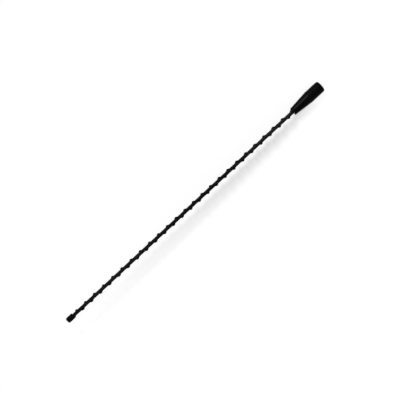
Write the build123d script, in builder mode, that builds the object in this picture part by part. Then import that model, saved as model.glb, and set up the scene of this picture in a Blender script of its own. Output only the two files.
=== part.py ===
from build123d import *
from math import sqrt
import os

# Car mast aerial: a thin ribbed whip in a moulded boot that screws onto a stud on the car.
# The mast stands along +Z, and the origin is the middle of the boot's foot, at the mouth of
# the threaded socket.

# Whole mast
mast_length = 400.0

# Boot, moulded over the ferrule and the lower end of the sheath
boot_length = 44.5
foot_diameter = 14.1
foot_height = 19.5
foot_edge_radius = 2.0
collar_diameter = 9.85
collar_height = 3.2
collar_edge_radius = 0.5
cone_foot_radius = 8.0
cone_collar_radius = 4.0
boot_bore_clearance = 0.05

# Brass ferrule, turned and knurled
ferrule_length = 28.0
ferrule_head_diameter = 8.0
ferrule_head_height = 13.0
ferrule_groove_diameter = 6.2
ferrule_groove_width = 2.5
ferrule_barrel_diameter = 7.0
ferrule_barrel_chamfer = 0.4
knurl_count = 24
knurl_depth = 0.35
knurl_end_margin = 1.5

# Blind socket in the ferrule for an M5 stud, drilled to its tapping size
thread_major_diameter = 5.0
thread_drill_diameter = 4.2
thread_depth = 10.0
drill_point_height = 1.2
socket_web = 2.8

# Spring-steel rod, held in the ferrule's upper socket
rod_diameter = 2.8
rod_end_chamfer = 0.3
rod_socket_clearance = 0.03

# Black sheath on the rod, with its spiral rib, whose crest points to -X at the side height
sheath_diameter = 4.3
sheath_bore_clearance = 0.03
rib_pitch = 14.03
rib_height = 1.25
rib_shoulder_height = 0.85
rib_shoulder_width = 1.45
rib_root_depth = 0.6
rib_root_width = 2.2
rib_side_height = 53.0

# Tip cap
cap_length = 9.5
cap_diameter = 7.0
cap_end_wall = 3.0
cap_end_radius = 1.7
cap_mouth_chamfer = 0.3
cap_bore_clearance = 0.05

# Heights along the mast
cone_top = boot_length - collar_height
groove_top = ferrule_head_height + ferrule_groove_width
socket_floor = thread_depth + drill_point_height + socket_web
cap_mouth = mast_length - cap_length
whip_top = mast_length - cap_end_wall

# Radii that the fits share
foot_radius = foot_diameter / 2
collar_radius = collar_diameter / 2
head_radius = ferrule_head_diameter / 2
groove_radius = ferrule_groove_diameter / 2
barrel_radius = ferrule_barrel_diameter / 2
thread_mouth_radius = thread_major_diameter / 2
thread_drill_radius = thread_drill_diameter / 2
rod_radius = rod_diameter / 2
rod_socket_radius = rod_radius + rod_socket_clearance
sheath_radius = sheath_diameter / 2
sheath_bore_radius = rod_radius + sheath_bore_clearance
boot_bore_radius = sheath_radius + boot_bore_clearance
cap_bore_radius = sheath_radius + cap_bore_clearance

os.makedirs("parts", exist_ok=True)


# Outside of the ferrule: a knurled head, a groove that locks the moulding on, and a barrel
with BuildPart() as ferrule_blank:
    with BuildSketch(Plane.XZ):
        with BuildLine():
            Polyline(
                (0, 0),
                (head_radius, 0),
                (head_radius, ferrule_head_height),
                (groove_radius, ferrule_head_height),
                (groove_radius, groove_top),
                (barrel_radius, groove_top),
                (barrel_radius, ferrule_length - ferrule_barrel_chamfer),
                (barrel_radius - ferrule_barrel_chamfer, ferrule_length),
                (0, ferrule_length),
                close=True,
            )
        make_face()
    revolve(axis=Axis.Z)
    with BuildSketch(Plane.XY.offset(knurl_end_margin)):
        with PolarLocations(head_radius, knurl_count):
            Rectangle(knurl_depth * sqrt(2), knurl_depth * sqrt(2), rotation=45)
    extrude(amount=ferrule_head_height - 2 * knurl_end_margin, mode=Mode.SUBTRACT)

# Ferrule: the blank drilled from below for the stud and from above for the rod
with BuildPart() as ferrule:
    add(ferrule_blank.part)
    with BuildSketch(Plane.XZ):
        with BuildLine():
            Polyline(
                (0, 0),
                (thread_mouth_radius, 0),
                (thread_drill_radius, thread_mouth_radius - thread_drill_radius),
                (thread_drill_radius, thread_depth),
                (0, thread_depth + drill_point_height),
                close=True,
            )
        make_face()
    revolve(axis=Axis.Z, mode=Mode.SUBTRACT)
    with BuildSketch(Plane.XY.offset(socket_floor)):
        Circle(rod_socket_radius)
    extrude(amount=ferrule_length - socket_floor, mode=Mode.SUBTRACT)
ferrule.part.label = "threaded_ferrule"

# Rod: from the floor of its socket to the inside of the cap
with BuildPart() as rod:
    with BuildSketch(Plane.XY.offset(socket_floor)):
        Circle(rod_radius)
    extrude(amount=whip_top - socket_floor)
    chamfer(rod.edges().filter_by(GeomType.CIRCLE), rod_end_chamfer)
rod.part.label = "whip_rod"

# Outside of the sheath: a round skin from the ferrule to the cap's end wall, and one right-handed
# rib that starts inside the boot and ends at the cap's mouth
rib_length = cap_mouth - ferrule_length
rib_start_angle = 180 + 360 * (ferrule_length - rib_side_height) / rib_pitch
rib_plane = Plane.XY.offset(ferrule_length).rotated((0, 0, rib_start_angle))

with BuildLine() as rib_axis:
    Line((0, 0, ferrule_length), (0, 0, cap_mouth))

with BuildLine() as rib_guide:
    Helix(rib_pitch, rib_length, sheath_radius, center=(0, 0, ferrule_length))

with BuildPart() as sheath_blank:
    with BuildSketch(Plane.XY.offset(ferrule_length)):
        Circle(sheath_radius)
    extrude(amount=whip_top - ferrule_length)
    with BuildSketch(rib_plane):
        with BuildLine():
            Polyline(
                (sheath_radius - rib_root_depth, rib_root_width / 2),
                (sheath_radius + rib_shoulder_height, rib_shoulder_width / 2),
                (sheath_radius + rib_height, 0),
                (sheath_radius + rib_shoulder_height, -rib_shoulder_width / 2),
                (sheath_radius - rib_root_depth, -rib_root_width / 2),
                close=True,
            )
        make_face()
    sweep(path=rib_axis.wire(), binormal=rib_guide.wire())

# Sheath: the skin and rib, bored for the rod
with BuildPart() as sheath:
    add(sheath_blank.part)
    with BuildSketch(Plane.XY.offset(ferrule_length)):
        Circle(sheath_bore_radius)
    extrude(amount=whip_top - ferrule_length, mode=Mode.SUBTRACT)
sheath.part.label = "ribbed_sheath"

# Boot: a straight foot, a cone and a collar, moulded round the ferrule and the foot of the sheath; it grips
# the rib and has shrunk a hair off the round skin
with BuildPart() as boot:
    with BuildSketch(Plane.XZ):
        with BuildLine():
            FilletPolyline(
                (0, 0),
                (foot_radius, 0),
                (foot_radius, foot_height),
                (collar_radius, cone_top),
                (collar_radius, boot_length),
                (0, boot_length),
                radius=[0, foot_edge_radius, cone_foot_radius, cone_collar_radius, collar_edge_radius, 0],
                close=True,
            )
        make_face()
    revolve(axis=Axis.Z)
    add(ferrule_blank.part, mode=Mode.SUBTRACT)
    add(sheath_blank.part, mode=Mode.SUBTRACT)
    with BuildSketch(Plane.XY.offset(ferrule_length)):
        Circle(boot_bore_radius)
    extrude(amount=boot_length - ferrule_length, mode=Mode.SUBTRACT)
boot.part.label = "boot"

# Tip cap: pushed over the bare end of the sheath, down to the end of the rib
with BuildPart() as cap:
    with BuildSketch(Plane.XY.offset(cap_mouth)):
        Circle(cap_diameter / 2)
    extrude(amount=cap_length)
    rings = cap.edges().filter_by(GeomType.CIRCLE).sort_by(Axis.Z)
    chamfer(rings[0], cap_mouth_chamfer)
    fillet(rings[-1], cap_end_radius)
    with BuildSketch(Plane.XY.offset(cap_mouth)):
        Circle(cap_bore_radius)
    extrude(amount=whip_top - cap_mouth, mode=Mode.SUBTRACT)
cap.part.label = "tip_cap"

for piece in (boot, ferrule, rod, sheath, cap):
    export_step(piece.part, f"parts/{piece.part.label}.step")
    print(piece.part.label, round(piece.part.volume, 1), "mm3")
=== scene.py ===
# %% [markdown]
# # A car's mast aerial, dressed for its picture
#
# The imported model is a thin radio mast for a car: a moulded boot that screws onto a stud, a long black
# sheath with one spiral rib, and a small cap on the tip. It stands along +Z with the middle of its foot at
# the origin, and Blender shows it in metres. The solids say where everything is. This lesson gives each
# piece that shows a finer skin in the same place, and each surface its finish.

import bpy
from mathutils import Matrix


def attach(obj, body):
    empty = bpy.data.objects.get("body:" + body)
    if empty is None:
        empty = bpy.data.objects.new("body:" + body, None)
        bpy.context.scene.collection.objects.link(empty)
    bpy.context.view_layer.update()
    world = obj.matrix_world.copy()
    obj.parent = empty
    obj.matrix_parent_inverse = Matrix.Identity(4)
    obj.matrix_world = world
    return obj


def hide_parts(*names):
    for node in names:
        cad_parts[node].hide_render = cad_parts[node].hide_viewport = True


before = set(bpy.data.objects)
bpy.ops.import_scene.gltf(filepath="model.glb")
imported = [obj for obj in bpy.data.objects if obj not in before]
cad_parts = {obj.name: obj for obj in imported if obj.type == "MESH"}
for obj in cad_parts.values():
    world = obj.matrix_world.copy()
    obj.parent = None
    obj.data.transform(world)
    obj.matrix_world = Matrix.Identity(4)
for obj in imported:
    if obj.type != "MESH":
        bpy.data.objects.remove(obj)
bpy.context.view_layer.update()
print("nodes:", list(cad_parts))

# %% [markdown]
# ## The view
#
# The picture looks square onto the side of the mast, which runs from the tip at the lower left to the boot
# at the upper right. The mast could be turned to lie like that, but then it would leave the shared frame,
# so the camera rolls instead. Its three axes are written straight into its matrix, which is easier to get
# right than three angles: the tip's direction on the picture gives them all. It aims a few millimetres beside
# the middle of the mast, where the centre of the picture is.

# %% Camera
from math import cos, pi, radians, sin

import bpy
from mathutils import Matrix, Vector

scene = bpy.context.scene
scene.view_settings.view_transform = "Standard"

MAST_LENGTH = 0.400
TIP_DIRECTION = radians(222.88)
PICTURE_DISTANCE = 1.1949
AIM_RIGHT = 0.00671
AIM_UP = 0.00393

right = Vector((sin(TIP_DIRECTION), 0, cos(TIP_DIRECTION)))
up = Vector((-cos(TIP_DIRECTION), 0, sin(TIP_DIRECTION)))
back = Vector((0, -1, 0))
mast_middle = Vector((0, 0, MAST_LENGTH / 2))
aim = mast_middle + AIM_RIGHT * right + AIM_UP * up

camera = bpy.data.objects.new("camera", bpy.data.cameras.new("camera"))
camera.data.sensor_width = 36
camera.data.lens = 93
camera.matrix_world = (
    Matrix.Translation(aim + PICTURE_DISTANCE * back) @ Matrix((right, up, back)).transposed().to_4x4()
)
scene.collection.objects.link(camera)
scene.camera = camera
print("camera at", [round(c, 3) for c in camera.location], "looking along +Y")

# %% [markdown]
# ## Nodes in one line
#
# Every finish below is a small network of nodes. Adding a node, setting its options, filling its sockets
# and linking it takes four statements by hand. This helper does it in one: a socket given as a value is
# linked, and anything else is typed into the field.

# %% Node helpers
def node(tree, kind, inputs=None, **options):
    """Add a node, set its options, and fill or link its input sockets."""
    made = tree.nodes.new(kind)
    for name, value in options.items():
        setattr(made, name, value)
    for name, value in (inputs or {}).items():
        if isinstance(value, bpy.types.NodeSocket):
            tree.links.new(value, made.inputs[name])
        else:
            made.inputs[name].default_value = value
    return made


def spread(tree, value, low, high, start=0.3, stop=0.7):
    """Stretch the range start..stop of a value over low..high; most of a noise is in 0.3 to 0.7."""
    inputs = {"Value": value, "From Min": start, "From Max": stop, "To Min": low, "To Max": high}
    return node(tree, "ShaderNodeMapRange", inputs).outputs["Result"]


def ramp(tree, value, *stops):
    """Turn a value into a colour, with a stop for each (position, grey or colour)."""
    made = node(tree, "ShaderNodeValToRGB", {"Fac": value})
    elements = made.color_ramp.elements
    while len(elements) < len(stops):
        elements.new(0.5)
    for element, (position, colour) in zip(elements, stops):
        element.position = position
        element.color = (*colour, 1) if isinstance(colour, tuple) else (colour, colour, colour, 1)
    return made.outputs["Color"]


def seen_by_eye_or_mirror(tree):
    """One for camera, glossy and transmission rays, zero for the rays that carry light."""
    path = node(tree, "ShaderNodeLightPath").outputs
    seen = node(tree, "ShaderNodeMath", {0: path["Is Camera Ray"], 1: path["Is Glossy Ray"]}, operation="ADD")
    inputs = {0: seen.outputs[0], 1: path["Is Transmission Ray"]}
    return node(tree, "ShaderNodeMath", inputs, operation="ADD", use_clamp=True).outputs[0]


print("node helpers ready")

# %% [markdown]
# ## Light
#
# One large soft lamp stands to the picture's upper left and gives the shadow and the long highlight on the
# boot. A second, smaller one stands straight behind, where it lights nothing that the picture shows, so that
# the far side has a highlight too when somebody walks round. Area lamps are the plain choice for a studio,
# because their size sets how soft a shadow is. The window lamp is wide across the mast, for a soft shadow,
# and low along it, for a highlight that ends. The world is white to the eye and to mirrors and dim to
# everything else, so black stays black.

# %% Lamps
WINDOW_PLACE = (0.755, -0.933, 0.12)
WINDOW_WATTS = 10.0


def soft_lamp(name, at, width, height, watts):
    """An area lamp that faces the middle of the mast."""
    lamp = bpy.data.lights.new(name, "AREA")
    lamp.shape = "RECTANGLE"
    lamp.size = width
    lamp.size_y = height
    lamp.energy = watts
    lamp_object = bpy.data.objects.new(name, lamp)
    lamp_object.location = at
    lamp_object.rotation_euler = (mast_middle - Vector(at)).to_track_quat("-Z", "Y").to_euler()
    lamp_object.visible_camera = False
    scene.collection.objects.link(lamp_object)
    print(name, [round(c, 2) for c in at], width, "by", height, "m", watts, "W")


soft_lamp("window_lamp", at=WINDOW_PLACE, width=0.62, height=0.24, watts=WINDOW_WATTS)
soft_lamp("far_lamp", at=(0.0, 1.10, 0.0), width=0.24, height=0.50, watts=9.0)

# %% World
WORLD_LIGHT = 0.30

world = bpy.data.worlds.new("studio")
scene.world = world
world.use_nodes = True
tree = world.node_tree
strength = spread(tree, seen_by_eye_or_mirror(tree), WORLD_LIGHT, 1.0, 0.0, 1.0)
tree.links.new(strength, tree.nodes["Background"].inputs["Strength"])
tree.nodes["Background"].inputs["Color"].default_value = (1, 1, 1, 1)
print("world light", WORLD_LIGHT)

# %% [markdown]
# ## The pale sheet behind the mast
#
# The mast lies on a white sheet, a little clear of it towards the tip, and its soft shadow falls to one
# side. The sheet is one face. It is see-through from behind and at its rim, so that a camera walking round
# the mast is never blocked and never meets an edge. Most of its white is real light on pale paper, which
# is what keeps the shadow. A faint glow that only the eye and mirrors see evens out the lamp, which grows
# weaker with distance. Being broad, the lamp does so like a small one a little further off. More of the glow
# lightens the shadow at both ends of the mast. It slides outwards with the shadow, because the sheet leans
# away towards the tip, and a trace of it clears the dimness on the lit side of the boot.

# %% Backdrop sheet
SHEET_HALF = 0.62
SHEET_MIDDLE = MAST_LENGTH / 2
SHEET_GAP = 0.0106
SHEET_LEAN = 0.0325

corners = []
for x, z in ((-1, -1), (1, -1), (1, 1), (-1, 1)):
    height = SHEET_MIDDLE + z * SHEET_HALF
    corners.append((x * SHEET_HALF, SHEET_GAP + SHEET_LEAN * height, height))
sheet_mesh = bpy.data.meshes.new("backdrop_sheet")
sheet_mesh.from_pydata(corners, [], [(0, 1, 2, 3)])
sheet = bpy.data.objects.new("backdrop_sheet", sheet_mesh)
scene.collection.objects.link(sheet)
sheet.visible_shadow = False
print("sheet faces", [round(c, 3) for c in sheet_mesh.polygons[0].normal])

# %% Backdrop paper
PAPER_COLOUR = 0.80
FIBRE_CONTRAST = 0.01

paper = bpy.data.materials.new("backdrop_paper")
paper.use_nodes = True
tree = paper.node_tree
tree.nodes.clear()

place = node(tree, "ShaderNodeTexCoord").outputs["Object"]
across, _, along = node(tree, "ShaderNodeSeparateXYZ", {"Vector": place}).outputs
fibres = node(tree, "ShaderNodeTexNoise", {"Vector": place, "Scale": 900.0, "Detail": 3.0}).outputs[0]
white = ramp(tree, fibres, (0.3, PAPER_COLOUR - FIBRE_CONTRAST), (0.7, PAPER_COLOUR + FIBRE_CONTRAST))
lit_paper = node(tree, "ShaderNodeBsdfDiffuse", {"Color": white}).outputs[0]
print("paper colour", PAPER_COLOUR)

# %% Backdrop glow
SHEET_WHITE = 1.008
WINDOW_BREADTH = 0.24

lamp_strength = PAPER_COLOUR * WINDOW_WATTS * (SHEET_GAP - WINDOW_PLACE[1]) / pi**2
inputs = {0: place, 1: WINDOW_PLACE}
distance = node(tree, "ShaderNodeVectorMath", inputs, operation="DISTANCE").outputs["Value"]
inputs = {0: distance, 1: distance, 2: WINDOW_BREADTH**2}
squared = node(tree, "ShaderNodeMath", inputs, operation="MULTIPLY_ADD").outputs[0]
weaker = node(tree, "ShaderNodeMath", {0: squared, 1: -1.5}, operation="POWER").outputs[0]
inputs = {0: weaker, 1: -lamp_strength, 2: SHEET_WHITE - PAPER_COLOUR * WORLD_LIGHT}
evened = node(tree, "ShaderNodeMath", inputs, operation="MULTIPLY_ADD", use_clamp=True).outputs[0]
to_middle = Vector((0, SHEET_GAP, SHEET_MIDDLE)) - Vector(WINDOW_PLACE)
middle_light = lamp_strength / (to_middle.length_squared + WINDOW_BREADTH**2) ** 1.5
print("lamp's share of the white at the middle:", round(middle_light, 3))

# %% Backdrop fill
SHADOW_SLIDE = 0.011
FILL_REACH = 0.02

fill_along = ramp(
    tree, spread(tree, along, 0, 1, 0.0, MAST_LENGTH),
    (0.035, 0.41), (0.055, 0.345), (0.09, 0.255), (0.104, 0.235), (0.117, 0.06), (0.14, 0.045), (0.20, 0.0),
    (0.39, 0.0), (0.61, 0.065), (0.87, 0.135), (0.97, 0.155), (0.985, 0.20),
)
inputs = {0: along, 1: SHADOW_SLIDE, 2: across}
beside = node(tree, "ShaderNodeMath", inputs, operation="MULTIPLY_ADD").outputs[0]
fill_across = ramp(
    tree, spread(tree, beside, 0, 1, FILL_REACH, -FILL_REACH),
    (0.35, 0.09), (0.40, 0.0), (0.575, 0.0), (0.69, 1.0), (0.81, 1.0), (0.905, 0.65),
)
inputs = {0: fill_along, 1: fill_across, 2: evened}
glow_there = node(tree, "ShaderNodeMath", inputs, operation="MULTIPLY_ADD").outputs[0]
inputs = {0: seen_by_eye_or_mirror(tree), 1: glow_there}
glow = node(tree, "ShaderNodeMath", inputs, operation="MULTIPLY").outputs[0]
glowing = node(tree, "ShaderNodeEmission", {"Strength": glow}).outputs[0]
front = node(tree, "ShaderNodeAddShader", {0: lit_paper, 1: glowing}).outputs[0]
print("fill reaches", FILL_REACH, "m to each side of the mast")

# %% Backdrop rim
SHEET_REACH = 0.6

inputs = {
    "Vector": place,
    "Location": (0, 0, -SHEET_MIDDLE / SHEET_REACH),
    "Scale": (1 / SHEET_REACH, 1 / SHEET_REACH, 1 / SHEET_REACH),
}
from_middle = node(tree, "ShaderNodeMapping", inputs).outputs[0]
ball = node(tree, "ShaderNodeTexGradient", {"Vector": from_middle}, gradient_type="SPHERICAL").outputs["Fac"]
rim = spread(tree, ball, 1, 0, 0.02, 0.30)
behind = node(tree, "ShaderNodeNewGeometry").outputs["Backfacing"]
gone = node(tree, "ShaderNodeMath", {0: rim, 1: behind}, operation="MAXIMUM").outputs[0]
clear = node(tree, "ShaderNodeBsdfTransparent").outputs[0]
surface = node(tree, "ShaderNodeMixShader", {0: gone, 1: front, 2: clear}).outputs[0]
node(tree, "ShaderNodeOutputMaterial", {"Surface": surface})
sheet_mesh.materials.append(paper)
print("paper nodes:", len(tree.nodes))

# %% [markdown]
# ## Rings into skins
#
# Every piece of the mast is round, or nearly. A lathe, Blender's Spin tool or the Screw modifier would make
# the plain ones, but not a rib that wanders, a knurl, or a thread inside a hole. A row of rings does all of
# them: each ring is a loop of points round the mast, and faces join it to the next. Where the last ring
# joins the first, the piece is a tube with a bore. Where two poles are given, each end closes in a point.

# %% Skin helper
import bmesh
import numpy as np

MM = 0.001
SHARP_ANGLE = radians(33)


def ring(radius, angles, height):
    """Points round the mast, in millimetres; the radius may differ from point to point."""
    return np.column_stack([radius * np.cos(angles), radius * np.sin(angles), np.full(len(angles), height)])


def skin(name, rings, poles=None):
    """Join a row of rings, all with the same number of points, into one closed mesh."""
    rings = np.asarray(rings)
    rows, count = rings.shape[:2]
    points = rings.reshape(-1, 3)
    faces = []
    for row in range(rows - 1 if poles else rows):
        here, there = row * count, (row + 1) % rows * count
        for k in range(count):
            after = (k + 1) % count
            faces.append((here + k, here + after, there + after, there + k))
    if poles:
        points = np.vstack([points, poles])
        last = (rows - 1) * count
        for k in range(count):
            after = (k + 1) % count
            faces.append((after, k, rows * count))
            faces.append((last + k, last + after, rows * count + 1))
    mesh = bpy.data.meshes.new(name)
    mesh.from_pydata((points * MM).tolist(), [], faces)
    work = bmesh.new()
    work.from_mesh(mesh)
    bmesh.ops.recalc_face_normals(work, faces=work.faces[:])
    work.to_mesh(mesh)
    work.free()
    mesh.shade_smooth()
    mesh.set_sharp_from_angle(angle=SHARP_ANGLE)
    return mesh


def mark(mesh, name, values):
    """Store a number on every point, for a finish to read."""
    numbers = np.asarray(values, dtype=np.float32)
    mesh.attributes.new(name, "FLOAT", "POINT").data.foreach_set("value", numbers)


def set_in_place(mesh, node_name):
    """Make the mesh a piece that rides on the mast and stands for a solid of the model."""
    piece = bpy.data.objects.new("visual_" + node_name, mesh)
    scene.collection.objects.link(piece)
    level = piece.modifiers.new("flat_faces_stay_flat", "WEIGHTED_NORMAL")
    level.keep_sharp = True
    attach(piece, "root")
    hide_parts(node_name)
    print(piece.name, len(mesh.vertices), "points", len(mesh.polygons), "faces")


print("skin helper ready")

# %% [markdown]
# ## Section of the sheath
#
# The sheath is a black skin on a spring-steel rod. Its one spiral rib breaks up the wind, which would make a
# plain rod whistle. Cut square across, the sheath is a circle with a round strand on it, and a small fillet
# where the two meet. The outline is drawn with three arcs that touch each other, which gives a true round
# rib with few points. Half of it is made and then mirrored.

# %% Sheath outline
SHEATH_RADIUS = 2.15
CREST_RADIUS = 3.40
STRAND_RADIUS = 0.92
FILLET_RADIUS = 0.35


def arc(centre, radius, start, stop, steps):
    """Points on an arc, without its last one."""
    turn = np.linspace(start, stop, steps, endpoint=False)
    return np.column_stack([centre[0] + radius * np.cos(turn), centre[1] + radius * np.sin(turn)])


strand_centre = CREST_RADIUS - STRAND_RADIUS
fillet_reach = SHEATH_RADIUS + FILLET_RADIUS
strand_gap = STRAND_RADIUS + FILLET_RADIUS
foot_cosine = (fillet_reach**2 + strand_centre**2 - strand_gap**2) / (2 * fillet_reach * strand_centre)
foot_angle = np.arccos(foot_cosine)
fillet_centre = fillet_reach * np.array([np.cos(foot_angle), np.sin(foot_angle)])
touch_angle = np.arctan2(fillet_centre[1], fillet_centre[0] - strand_centre)

half = np.vstack([
    arc((strand_centre, 0), STRAND_RADIUS, 0, touch_angle, 9),
    arc(fillet_centre, FILLET_RADIUS, touch_angle - pi, foot_angle - pi, 4),
    arc((0, 0), SHEATH_RADIUS, foot_angle, pi, 12),
])
other_half = half[:0:-1] * (1, -1)
outline = np.vstack([half, [(-SHEATH_RADIUS, 0)], other_half])
outline_radius = np.hypot(outline[:, 0], outline[:, 1])
outline_angle = np.arctan2(outline[:, 1], outline[:, 0])
print("outline points:", len(outline), "foot of the rib at", round(np.degrees(foot_angle), 1), "degrees")

# %% [markdown]
# ## The sheath
#
# The rib came out of a turning die, so its pitch is even to the eye, but over the length of the mast it
# runs ahead and falls back by a millimetre or so. A Screw modifier can't wander. Here the angle of each
# ring comes from a formula with a slow wave in it. Above the rib, under the cap, the plain end unwinds to
# the angle it began with, so the bore can go straight back down with two rings.

# %% Sheath skin
RIB_PITCH = 14.03
RIB_SIDE_HEIGHT = 53.0
WANDER = 1.5
WANDER_START = 307.7
WANDER_LENGTH = 235.9
SHEATH_FOOT = 28.0
RIB_END = 390.5
SHEATH_TOP = 397.0
BORE_RADIUS = 1.43
RINGS_PER_TURN = 36


def rib_angle(height):
    """Where the crest of the rib points at a height on the mast."""
    wander = WANDER * np.sin(2 * pi * (WANDER_START - height) / WANDER_LENGTH)
    return pi + 2 * pi * (height + wander - RIB_SIDE_HEIGHT) / RIB_PITCH


steps = round((RIB_END - SHEATH_FOOT) / RIB_PITCH * RINGS_PER_TURN)
rings = []
for height in np.linspace(SHEATH_FOOT, RIB_END, steps):
    rings.append(ring(outline_radius, outline_angle + rib_angle(height), height))

first_angle, last_angle = rib_angle(SHEATH_FOOT), rib_angle(RIB_END)
unwind = (first_angle - last_angle + pi) % (2 * pi) - pi
for part in np.linspace(0, 1, 13):
    height = RIB_END + part * (SHEATH_TOP - RIB_END)
    rings.append(ring(SHEATH_RADIUS, outline_angle + last_angle + part * unwind, height))
rings.append(ring(BORE_RADIUS, outline_angle + first_angle, SHEATH_TOP))
rings.append(ring(BORE_RADIUS, outline_angle + first_angle, SHEATH_FOOT))

sheath_mesh = skin("visual_ribbed_sheath", rings)
crest = np.hypot(np.asarray(rings)[..., 0], np.asarray(rings)[..., 1]).ravel()
mark(sheath_mesh, "crest", np.clip((crest - SHEATH_RADIUS) / (CREST_RADIUS - SHEATH_RADIUS), 0, 1))
set_in_place(sheath_mesh, "ribbed_sheath")

# %% [markdown]
# ## Soft corners
#
# Nothing that comes out of a mould has a sharp corner, and it is the rounded corner that catches the light.
# A Bevel modifier could round the rings afterwards, but each corner here has its own radius. So a profile is
# listed as corners, each with its radius, and the arcs are put in before it is turned into rings.

# %% Profile helper
def soften(corners, steps=6):
    """Round each (radius, height, rounding) corner of a profile; the two ends are left as they are."""
    spots = np.array([corner[:2] for corner in corners], float)
    softened = [spots[0]]
    for before, here, after, corner in zip(spots, spots[1:], spots[2:], corners[1:]):
        if corner[2] == 0:
            softened.append(here)
            continue
        to_before = (before - here) / np.linalg.norm(before - here)
        to_after = (after - here) / np.linalg.norm(after - here)
        half_angle = np.arccos(np.clip(to_before @ to_after, -1, 1)) / 2
        middle = to_before + to_after
        centre = here + middle / np.linalg.norm(middle) * corner[2] / np.sin(half_angle)
        start = here + to_before * corner[2] / np.tan(half_angle) - centre
        stop = here + to_after * corner[2] / np.tan(half_angle) - centre
        for part in np.linspace(0, 1, steps):
            spoke = start * (1 - part) + stop * part
            softened.append(centre + spoke * corner[2] / np.linalg.norm(spoke))
    return np.array(softened + [spots[-1]])


def near_edges(profile, edges, reach):
    """One on the worn edges of a profile, fading to zero over the reach."""
    gaps = [np.hypot(profile[:, 0] - radius, profile[:, 1] - height) for radius, height in edges]
    return np.clip(1 - np.min(gaps, axis=0) / reach, 0, 1) ** 2


print("profile helper ready")

# %% [markdown]
# ## The boot
#
# The boot is one rubbery moulding round the foot of the mast: a straight grip for the fingers, a long cone
# and a short collar. It is open below, where the brass ferrule shows, and its top fits round the sheath and
# its rib. The mould had two halves, so a hair-fine parting line runs up both sides. Extra points close to
# those two lines give it a real edge. The mouth of the collar is the sheath's own outline, a little wider.

# %% Boot parting line
PARTING_HEIGHT = 0.05
PARTING_FOOT = radians(1.5)
PARTING_CREST = radians(0.7)

even = np.radians(np.arange(0, 360, 3.75))
close = np.array([-PARTING_FOOT, -PARTING_CREST, PARTING_CREST, PARTING_FOOT])
boot_angles = np.sort(np.concatenate([even, close % (2 * pi), close + pi]))
from_line = np.abs((boot_angles + pi / 2) % pi - pi / 2)
parting = PARTING_HEIGHT * np.clip((PARTING_FOOT - from_line) / (PARTING_FOOT - PARTING_CREST), 0, 1)
print("points round the boot:", len(boot_angles))

# %% Boot skin
BOOT_TOP = 44.5
CONE_TOP = 41.3
COLLAR_RADIUS = 4.925
COLLAR_MOUTH = 3.75
FOOT_RADIUS = 7.05
FOOT_HEIGHT = 19.5
FOOT_ROUNDING = 2.0
HEAD_RADIUS = 4.0
HEAD_TOP = 13.0
GROOVE_RADIUS = 3.1
GROOVE_TOP = 15.5
BARREL_RADIUS = 3.5
FIT = 0.02
LIP = 0.12

outside = soften([
    (HEAD_RADIUS + FIT, HEAD_TOP, 0),
    (HEAD_RADIUS + FIT, 0.0, LIP),
    (FOOT_RADIUS, 0.0, FOOT_ROUNDING),
    (FOOT_RADIUS, FOOT_HEIGHT, 8.0),
    (COLLAR_RADIUS, CONE_TOP, 4.0),
    (COLLAR_RADIUS, BOOT_TOP, 0.5),
    (COLLAR_MOUTH, BOOT_TOP, 0),
])
rings = []
for radius, height in outside:
    on_the_side = FOOT_ROUNDING - 0.1 < height < BOOT_TOP - 0.4 and radius > COLLAR_RADIUS - 0.1
    rings.append(ring(radius + parting * on_the_side, boot_angles, height))

polar = np.argsort(outline_angle)
for height in np.concatenate([[BOOT_TOP, BOOT_TOP - LIP], np.linspace(BOOT_TOP - 0.5, SHEATH_FOOT, 18)]):
    lip = LIP if height == BOOT_TOP else 0
    seen_from_rib = (boot_angles - rib_angle(height) + pi) % (2 * pi) - pi
    mouth = np.interp(seen_from_rib, outline_angle[polar], outline_radius[polar], period=2 * pi)
    rings.append(ring(mouth + FIT + lip, boot_angles, height))
for radius, height in (
    (BARREL_RADIUS, SHEATH_FOOT), (BARREL_RADIUS, GROOVE_TOP),
    (GROOVE_RADIUS, GROOVE_TOP), (GROOVE_RADIUS, HEAD_TOP),
):
    rings.append(ring(radius + FIT, boot_angles, height))

boot_mesh = skin("visual_boot", rings)
edges = [(FOOT_RADIUS - 0.6, 0.6), (FOOT_RADIUS, FOOT_HEIGHT), (COLLAR_RADIUS - 0.15, BOOT_TOP - 0.15)]
worn = np.zeros(len(rings))
worn[: len(outside)] = near_edges(outside, edges, 1.2)
mark(boot_mesh, "edge_wear", np.repeat(worn, len(boot_angles)))
set_in_place(boot_mesh, "boot")

# %% [markdown]
# ## The tip cap
#
# The cap is a small hard moulding pushed over the end of the sheath, down to where the rib stops. Its end is
# well rounded, because it is the part that meets eyes and garage doors. In the middle of the end is the
# shallow round mark where the plastic ran into the mould. It is a profile with soft corners, turned into
# rings that close in a point inside and outside.

# %% Cap skin
CAP_RADIUS = 3.5
CAP_BORE = 2.20
CAP_MOUTH = RIB_END
MAST_TOP = MAST_LENGTH / MM
MARK_RADIUS = 0.80
MARK_FLOOR = MAST_TOP - 0.14

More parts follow.
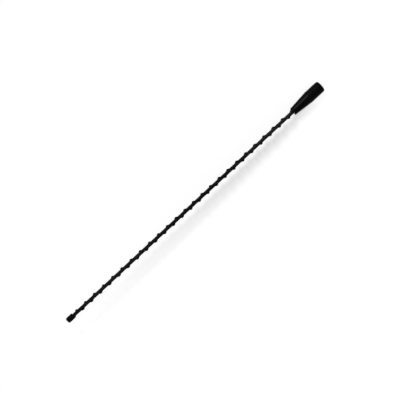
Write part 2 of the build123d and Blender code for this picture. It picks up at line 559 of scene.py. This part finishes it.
cap_angles = np.radians(np.arange(0, 360, 5.0))
cap_profile = soften([
    (CAP_BORE, SHEATH_TOP, 0),
    (CAP_BORE, CAP_MOUTH, 0.1),
    (CAP_RADIUS, CAP_MOUTH, 0.3),
    (CAP_RADIUS, MAST_TOP, 1.7),
    (MARK_RADIUS, MAST_TOP, 0.06),
    (MARK_RADIUS - 0.08, MARK_FLOOR, 0.05),
    (0.10, MARK_FLOOR, 0),
])
rings = [ring(radius, cap_angles, height) for radius, height in cap_profile]
cap_mesh = skin("visual_tip_cap", rings, poles=[(0, 0, SHEATH_TOP), (0, 0, MARK_FLOOR)])
worn = near_edges(cap_profile, [(CAP_RADIUS - 0.5, MAST_TOP - 0.5), (CAP_RADIUS, CAP_MOUTH + 0.1)], 0.9)
mark(cap_mesh, "edge_wear", np.append(np.repeat(worn, len(cap_angles)), [0, 0]))
set_in_place(cap_mesh, "tip_cap")

# %% [markdown]
# ## The ferrule
#
# Under the boot, flush with its foot, is the end of a turned brass ferrule with a blind M5 thread for the
# stud on the car. Seen from below, the thread is the one thing that tells what the mast is for, so it is cut
# as a real helix, with flat crests and roots and about sixty degrees between its flanks. A bump map would
# show no depth in the hole. The knurled head and the groove that hold the moulding are there too, inside the
# boot.

# %% Thread radius
THREAD_PITCH = 0.8
THREAD_CREST = 2.1
THREAD_ROOT = 2.5
THREAD_END = 9.4


def thread_radius(angles, height):
    """Radius of the threaded wall: crest, flank, root, flank over each pitch, and a chamfer at the mouth."""
    phase = (height / THREAD_PITCH - angles / (2 * pi)) % 1
    depth = np.interp(phase, [0, 0.25, 0.5625, 0.6875, 1], [0, 0, 1, 1, 0])
    run_out = np.clip((THREAD_END - height) / THREAD_PITCH, 0, 1)
    wall = THREAD_CREST + (THREAD_ROOT - THREAD_CREST) * depth * run_out
    return np.maximum(wall, THREAD_ROOT - height)


print("thread radius at the mouth:", thread_radius(np.array([0.0]), 0.0)[0])

# %% Ferrule skin
DRILL_DEPTH = 10.0
DRILL_POINT = 11.2
FACE_ROUNDING = 0.16
KNURL_FOOT = 1.5
KNURL_TOP = 11.5
KNURL_DEPTH = 0.35
BARREL_CHAMFER = 0.4
ROD_SOCKET_FLOOR = 14.0

ferrule_angles = np.radians(np.arange(0, 360, 3.75))
knurled = np.where(np.arange(len(ferrule_angles)) % 4 == 0, HEAD_RADIUS - KNURL_DEPTH, HEAD_RADIUS)
rings = [ring(THREAD_CREST, ferrule_angles, DRILL_DEPTH)]
for height in np.arange(THREAD_END, -0.001, -THREAD_PITCH / 16):
    rings.append(ring(thread_radius(ferrule_angles, height), ferrule_angles, height))
rings.append(ring(THREAD_ROOT, ferrule_angles, 0.0))
for radius, height in (
    (HEAD_RADIUS - FACE_ROUNDING, 0.0), (HEAD_RADIUS - FACE_ROUNDING / 4, FACE_ROUNDING / 4),
    (HEAD_RADIUS, FACE_ROUNDING), (HEAD_RADIUS, KNURL_FOOT),
):
    rings.append(ring(radius, ferrule_angles, height))
for height in (KNURL_FOOT, KNURL_TOP):
    rings.append(ring(knurled, ferrule_angles, height))
for radius, height in (
    (HEAD_RADIUS, KNURL_TOP), (HEAD_RADIUS, HEAD_TOP),
    (GROOVE_RADIUS, HEAD_TOP), (GROOVE_RADIUS, GROOVE_TOP),
    (BARREL_RADIUS, GROOVE_TOP), (BARREL_RADIUS, SHEATH_FOOT - BARREL_CHAMFER),
    (BARREL_RADIUS - BARREL_CHAMFER, SHEATH_FOOT),
    (BORE_RADIUS, SHEATH_FOOT), (BORE_RADIUS, ROD_SOCKET_FLOOR),
):
    rings.append(ring(radius, ferrule_angles, height))
ends = [(0, 0, DRILL_POINT), (0, 0, ROD_SOCKET_FLOOR)]
ferrule_mesh = skin("visual_threaded_ferrule", rings, poles=ends)
set_in_place(ferrule_mesh, "threaded_ferrule")

# %% [markdown]
# ## Finishes
#
# Each finish starts from Blender's Principled shader, reads its place on the mast in metres, and so needs no
# unwrapping. Numbers that are the same all over a surface are typed on the shader itself. Noise varies what
# varies on the real thing: the colour a little, the roughness more, and the surface height at the size of the
# mould's grain.

# %% Finish helper
def new_finish(name, **values):
    """A Principled material with its fixed values typed in, and the place on the mast to texture it by."""
    finish = bpy.data.materials.new(name)
    finish.use_nodes = True
    finish_tree = finish.node_tree
    shader = finish_tree.nodes["Principled BSDF"]
    for socket, value in values.items():
        shader.inputs[socket.replace("_", " ")].default_value = value
    where = node(finish_tree, "ShaderNodeTexCoord").outputs["Object"]
    return finish, finish_tree, shader, where


def noise(tree, where, feature_mm, detail=2.0, stretch=(1, 1, 1)):
    """Noise whose blobs are about as large as the feature; stretch draws them out along the axes."""
    scaled = node(tree, "ShaderNodeMapping", {"Vector": where, "Scale": [1 / s for s in stretch]}).outputs[0]
    inputs = {"Vector": scaled, "Scale": 1000 / feature_mm, "Detail": detail}
    return node(tree, "ShaderNodeTexNoise", inputs).outputs[0]


def blended(tree, factor, first, second):
    """Mix two colours by a factor; a colour mix has them on its sockets 6 and 7."""
    mix = node(tree, "ShaderNodeMix", {0: factor, 6: first, 7: second}, data_type="RGBA")
    return mix.outputs[2]


def product(tree, first, second):
    """Multiply two values."""
    return node(tree, "ShaderNodeMath", {0: first, 1: second}, operation="MULTIPLY").outputs[0]


def rough_height(tree, shader, height, depth_mm, strength):
    """Tilt the surface's normal by a height, as grain and tool marks do."""
    inputs = {"Height": height, "Distance": depth_mm * MM, "Strength": strength}
    tree.links.new(node(tree, "ShaderNodeBump", inputs).outputs[0], shader.inputs["Normal"])


print("finish helper ready")

# %% [markdown]
# ### Boot: satin black rubber
#
# The boot's rubber is a deep satin black. Its mould was spark-eroded, which leaves a fine even grain, and
# handling has left broad patches a shade duller. The rounded edges rub against fingers and car washes, so
# they go a little grey. The grey follows a number stored on the edge points, broken up by noise.

# %% Boot rubber
finish, tree, shader, where = new_finish("boot_rubber_satin", Specular_IOR_Level=0.027, IOR=1.5)
patches = noise(tree, where, 5.0, 3.0)
grain = noise(tree, where, 0.22, 2.0)
edge = node(tree, "ShaderNodeAttribute", attribute_name="edge_wear").outputs["Fac"]
scuff = product(tree, edge, spread(tree, noise(tree, where, 0.5, 4.0), 0, 1, 0.42, 0.62))
black = ramp(tree, patches, (0.3, 0.0006), (0.7, 0.0012))
rubbed = product(tree, scuff, spread(tree, grain, 0.3, 0.9))
tree.links.new(blended(tree, rubbed, black, (0.012, 0.012, 0.0125, 1)), shader.inputs["Base Color"])
tree.links.new(spread(tree, patches, 0.24, 0.32), shader.inputs["Roughness"])
rough_height(tree, shader, grain, 0.02, 0.35)
boot_mesh.materials.append(finish)
print("boot finish nodes:", len(tree.nodes))

# %% [markdown]
# ### Sheath: drawn black plastic
#
# The sheath and its rib left a die at speed, so the surface carries fine streaks along the mast, and the
# crest of the rib, which touches whatever the mast leans on, is polished smoother than the valleys. Noise
# stretched far along Z gives the streaks, and the height of each point on the rib sets the polish. Just
# above the boot and over its upper part, the black is painted a shade greyer: a painted highlight where
# the lamp's reflection runs along the rod. A ramp along Z says how much, and the patches break it up.

# %% Sheath plastic
finish, tree, shader, where = new_finish("sheath_black_drawn", Specular_IOR_Level=0.032, IOR=1.5)
streaks = noise(tree, where, 0.16, 2.0, stretch=(1, 1, 60))
patches = noise(tree, where, 9.0, 2.0)
height_on_rib = node(tree, "ShaderNodeAttribute", attribute_name="crest").outputs["Fac"]
black = ramp(tree, patches, (0.3, 0.0012), (0.7, 0.0022))
dusty = spread(tree, height_on_rib, 0.25, 0.0, 0.0, 0.35)
dust = product(tree, dusty, spread(tree, streaks, 0.2, 1.0))
dusty_black = blended(tree, dust, black, (0.0065, 0.0064, 0.0062, 1))
height = node(tree, "ShaderNodeSeparateXYZ", {"Vector": where}).outputs["Z"]
# painted highlight: how much greyer the rod is painted along Z, where the lamp's reflection runs along it
painted_highlight_along = ramp(
    tree, spread(tree, height, 0, 1, 0.0, MAST_LENGTH),
    (0.11, 0.20), (0.13, 0.75), (0.24, 0.75), (0.30, 0.20), (0.38, 0.0),
    (0.56, 0.0), (0.65, 0.20), (0.72, 0.42), (0.85, 0.42), (0.94, 0.20),
)
# painted highlight: a lighter grey laid over the black on those stretches, broken up by the patches
painted_highlight = product(tree, painted_highlight_along, spread(tree, patches, 0.7, 1.3))
tree.links.new(blended(tree, painted_highlight, dusty_black, (0.016, 0.0158, 0.0155, 1)), shader.inputs["Base Color"])
polish = spread(tree, height_on_rib, 0.42, 0.33, 0.2, 1.0)
unevenness = spread(tree, streaks, 0.92, 1.08)
tree.links.new(product(tree, polish, unevenness), shader.inputs["Roughness"])
rough_height(tree, shader, streaks, 0.012, 0.3)
sheath_mesh.materials.append(finish)
print("sheath finish nodes:", len(tree.nodes))

# %% [markdown]
# ### Cap: moulded black plastic
#
# The cap is harder than the boot and came out of a polished mould with only a breath of texture. Its rounded
# end is knocked about most, so small scuffs sit there. The scuffs are a coarse noise cut off high, which
# leaves separate flecks in place of an even haze.

# %% Cap plastic
finish, tree, shader, where = new_finish("cap_black_moulded", Specular_IOR_Level=0.026, IOR=1.5)
patches = noise(tree, where, 2.5, 3.0)
grain = noise(tree, where, 0.12, 2.0)
edge = node(tree, "ShaderNodeAttribute", attribute_name="edge_wear").outputs["Fac"]
flecks = product(tree, edge, spread(tree, noise(tree, where, 0.35, 4.0), 0, 1, 0.5, 0.6))
black = ramp(tree, patches, (0.3, 0.0009), (0.7, 0.0016))
tree.links.new(blended(tree, flecks, black, (0.011, 0.011, 0.0112, 1)), shader.inputs["Base Color"])
tree.links.new(spread(tree, patches, 0.34, 0.42), shader.inputs["Roughness"])
rough_height(tree, shader, grain, 0.01, 0.3)
cap_mesh.materials.append(finish)
print("cap finish nodes:", len(tree.nodes))

# %% [markdown]
# ### Ferrule: turned brass
#
# The ferrule was turned from bar, so its face carries fine rings round the axis, bright where the tool passed
# last. Brass also takes on brown in patches as it ages, more in the thread than on the face. A Wave texture
# in rings round Z makes the tool marks, and noise lays the tarnish over it.

# %% Ferrule brass
finish, tree, shader, where = new_finish("ferrule_brass_turned", Metallic=1.0)
in_mm = node(tree, "ShaderNodeMapping", {"Vector": where, "Scale": (1000, 1000, 1000)}).outputs[0]
inputs = {"Vector": in_mm, "Scale": 1.3, "Distortion": 0.4, "Detail": 2.0, "Detail Scale": 3.0}
tool_rings = node(tree, "ShaderNodeTexWave", inputs, wave_type="RINGS", rings_direction="Z").outputs["Fac"]
depth = node(tree, "ShaderNodeSeparateXYZ", {"Vector": where}).outputs["Z"]
sheltered = spread(tree, depth, 0.35, 1.0, 0.0, 1.0 * MM)
tarnish = product(tree, sheltered, spread(tree, noise(tree, where, 1.1, 4.0), 0, 1, 0.42, 0.66))
bright = ramp(tree, tool_rings, (0.0, (0.66, 0.45, 0.19)), (1.0, (0.78, 0.57, 0.27)))
tree.links.new(blended(tree, tarnish, bright, (0.42, 0.26, 0.10, 1)), shader.inputs["Base Color"])
tree.links.new(spread(tree, tarnish, 0.24, 0.44, 0.0, 1.0), shader.inputs["Roughness"])
rough_height(tree, shader, tool_rings, 0.01, 0.35)
ferrule_mesh.materials.append(finish)
print("ferrule finish nodes:", len(tree.nodes))

# %% [markdown]
# ### Rod: drawn spring steel
#
# The rod inside the sheath never shows, but it is a piece of the model, and whoever takes the sheath off
# should find steel. Its solid is already the right shape, a plain round rod with chamfered ends, so it keeps
# its own mesh and only its material is changed: grey metal with fine lines drawn along it.

# %% Rod steel
finish, tree, shader, where = new_finish("rod_spring_steel", Metallic=1.0)
lines = noise(tree, where, 0.08, 2.0, stretch=(1, 1, 120))
clouds = noise(tree, where, 6.0, 2.0)
steel = ramp(tree, clouds, (0.3, (0.42, 0.42, 0.43)), (0.7, (0.54, 0.54, 0.55)))
tree.links.new(steel, shader.inputs["Base Color"])
tree.links.new(spread(tree, lines, 0.25, 0.40), shader.inputs["Roughness"])
rough_height(tree, shader, lines, 0.004, 0.4)
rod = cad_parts["whip_rod"]
rod.data.materials.clear()
rod.data.materials.append(finish)
print("rod finish on", rod.name)
